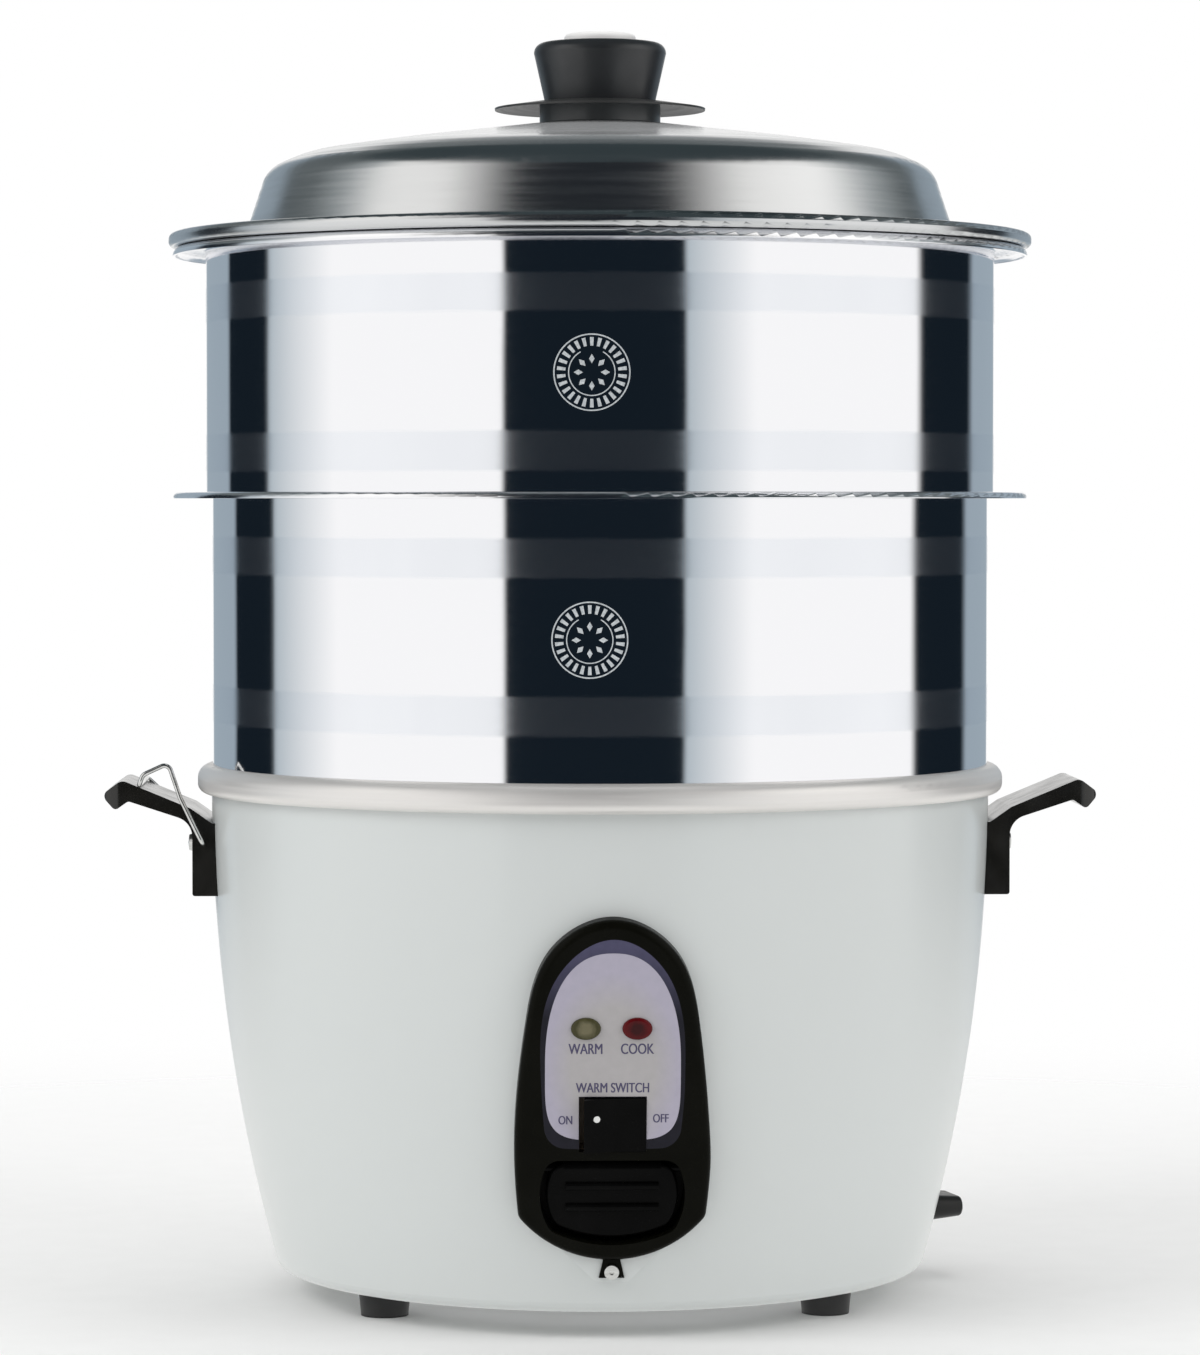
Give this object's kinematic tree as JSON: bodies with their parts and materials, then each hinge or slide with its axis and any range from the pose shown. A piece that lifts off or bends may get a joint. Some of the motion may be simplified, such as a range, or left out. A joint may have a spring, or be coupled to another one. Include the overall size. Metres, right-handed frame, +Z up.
{
  "type": "electric rice cooker",
  "caption": "Electric rice cooker: white pot-shaped heating base with side handles and control panel, stacked stainless steamer tiers and a domed lid with a black knob.",
  "frame": {"origin": "on the table under the cooker's axis, level with the soles of the feet", "axes": "+Z up; the control panel faces -Y; +X to the right seen from the front, so the lid stand is at -X"},
  "size_m": [0.3854, 0.3362, 0.4927],
  "materials": {
    "white_enamel": "smooth glossy enamel, very slightly green white",
    "pot_rim_metal": "satin rolled rim, plain inside",
    "spun_aluminium": "spun satin",
    "cast_aluminium": "as cast",
    "tier_stainless": "mirror polished with two satin bands",
    "floor_stainless": "satin, perforated",
    "lid_stainless": "satin, brushed in rings",
    "guard_metal": "satin",
    "cap_metal": "satin",
    "wire_steel": "bright drawn wire",
    "screw_steel": "bright zinc",
    "element_steel": "oxidised steel",
    "zinc_plate": "galvanised sheet",
    "brass_contacts": "plain brass",
    "black_moulding": "matt moulded",
    "bezel_plastic": "satin gloss moulded",
    "lever_plastic": "gloss moulded",
    "handle_bakelite": "polished phenolic",
    "knob_bakelite": "satin phenolic",
    "label_print": "printed pale lilac grey with a blue violet edge",
    "white_marker": "plain white",
    "warm_lens": "clear olive amber",
    "cook_lens": "clear dark red",
    "lamp_glass": "clear glass",
    "insulator": "brown moulded insulator",
    "foot_rubber": "matt moulded rubber"
  },
  "bodies": {
    "base": {"outer_shell": "white_enamel", "bottom_cover": "zinc_plate", "foot_screws": "screw_steel", "inlet_housing": "black_moulding", "inlet_pins": "brass_contacts", "outer_pot": "pot_rim_metal", "heating_plate": "cast_aluminium", "heater_terminals": "element_steel", "thermostat": "insulator", "heater_strap": "zinc_plate", "thermal_fuse": "insulator", "terminal_block": "insulator", "panel_bezel": "bezel_plastic", "panel_label": "label_print", "panel_screw": "screw_steel", "lever_pin": "element_steel", "cook_switch": "insulator", "switch_bracket": "zinc_plate", "rocker_case": "insulator", "right_handle": "handle_bakelite", "left_handle": "handle_bakelite", "handle_screws": "screw_steel", "foot_front_left": "foot_rubber", "foot_front_right": "foot_rubber", "foot_rear_left": "foot_rubber", "foot_rear_right": "foot_rubber", "warm_lamp_lens": "warm_lens", "cook_lamp_lens": "cook_lens", "warm_lamp": "lamp_glass", "cook_lamp": "lamp_glass"},
    "inner_pot": {"inner_pot": "spun_aluminium"},
    "lower_steamer": {"lower_steamer_wall": "tier_stainless", "lower_steamer_floor": "floor_stainless"},
    "upper_steamer": {"upper_steamer_wall": "tier_stainless", "upper_steamer_floor": "floor_stainless"},
    "lid": {"lid_shell": "lid_stainless", "knob_collar": "knob_bakelite", "knob_guard": "guard_metal", "lid_knob": "knob_bakelite", "knob_cap": "cap_metal", "knob_screw": "screw_steel"},
    "cook_lever": {"cook_lever": "lever_plastic"},
    "warm_rocker": {"warm_rocker": "lever_plastic", "rocker_dot": "white_marker"},
    "lid_stand": {"lid_stand": "wire_steel"}
  },
  "joints": [
    {"name": "lower_steamer_lift", "type": "slide", "parent": "base", "child": "lower_steamer", "axis": [0, 0, 1], "range_m": [0, 0.12]},
    {"name": "upper_steamer_lift", "type": "slide", "parent": "lower_steamer", "child": "upper_steamer", "axis": [0, 0, 1], "range_m": [0, 0.12]},
    {"name": "lid_lift", "type": "slide", "parent": "upper_steamer", "child": "lid", "axis": [0, 0, 1], "range_m": [0, 0.12]},
    {"name": "inner_pot_lift", "type": "slide", "parent": "base", "child": "inner_pot", "axis": [0, 0, 1], "range_m": [0, 0.014]},
    {"name": "cook_lever_press", "type": "hinge", "parent": "base", "child": "cook_lever", "pos_m": [0, -0.13899, 0.0657], "axis": [1, 0, 0], "range_deg": [0, 10], "stiffness_Nm_per_rad": 0.4},
    {"name": "warm_rocker_tilt", "type": "hinge", "parent": "base", "child": "warm_rocker", "pos_m": [0, -0.14292, 0.08311], "axis": [0, -0.1487, 0.9889], "range_deg": [-14, 0]},
    {"name": "lid_stand_swing", "type": "hinge", "parent": "base", "child": "lid_stand", "pos_m": [-0.1544, 0, 0.177], "axis": [0, 1, 0], "range_deg": [0, 20]}
  ]
}
